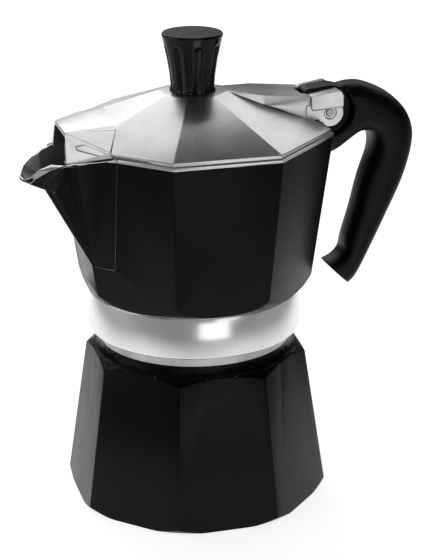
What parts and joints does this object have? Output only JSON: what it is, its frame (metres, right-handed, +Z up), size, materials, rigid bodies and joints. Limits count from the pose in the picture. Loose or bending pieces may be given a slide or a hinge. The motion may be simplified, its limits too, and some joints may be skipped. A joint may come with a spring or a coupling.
{
  "type": "stovetop moka pot",
  "caption": "Octagonal stovetop moka pot: screwed-on collector with pouring spout, hinged lid with fluted knob, plastic side handle and safety valve.",
  "frame": {"origin": "centre of the boiler's flat underside", "axes": "+Z up through the knob, -X out of the spout, +X out of the handle"},
  "size_m": [0.136, 0.0921, 0.1608],
  "materials": {
    "black_enamel": "satin black coating on cast aluminium",
    "aluminium": "spun, satin",
    "lid_aluminium": "polished",
    "steel": "plain",
    "brass": "turned",
    "seal_rubber": "matte",
    "handle_plastic": "satin phenolic moulding",
    "knob_plastic": "gloss"
  },
  "bodies": {
    "boiler": {"boiler": "black_enamel", "valve_body": "brass", "valve_washer": "aluminium", "valve_spring": "steel", "valve_retainer": "steel", "funnel": "aluminium", "funnel_plate": "aluminium"},
    "valve_plunger": {"valve_plunger": "brass"},
    "filter_set": {"gasket": "seal_rubber", "filter_plate": "aluminium"},
    "collector": {"collector": "black_enamel", "hinge_pin": "steel", "handle": "handle_plastic"},
    "lid": {"lid": "lid_aluminium", "knob": "knob_plastic", "knob_insert": "brass", "knob_screw": "steel", "knob_washer": "steel"}
  },
  "joints": [
    {"name": "unscrew_rise", "type": "slide", "parent": "boiler", "child": "filter_set", "axis": [0, 0, 1], "range_m": [0, 0.006]},
    {"name": "unscrew_turn", "type": "hinge", "parent": "filter_set", "child": "collector", "pos_m": [0, 0, 0.07], "axis": [0, 0, 1], "range_deg": [0, 720]},
    {"name": "lid_hinge", "type": "hinge", "parent": "collector", "child": "lid", "pos_m": [0.0451, 0, 0.1324], "axis": [0, 1, 0], "range_deg": [0, 92]},
    {"name": "valve_lift", "type": "slide", "parent": "boiler", "child": "valve_plunger", "axis": [0, 1, 0], "range_m": [0, 0.0012], "stiffness_N_per_m": 4000, "deforming": ["valve_spring"]}
  ],
  "couplings": [
    {"joint": "unscrew_rise", "follows": "unscrew_turn", "m_per_rad": 0.00047746}
  ]
}
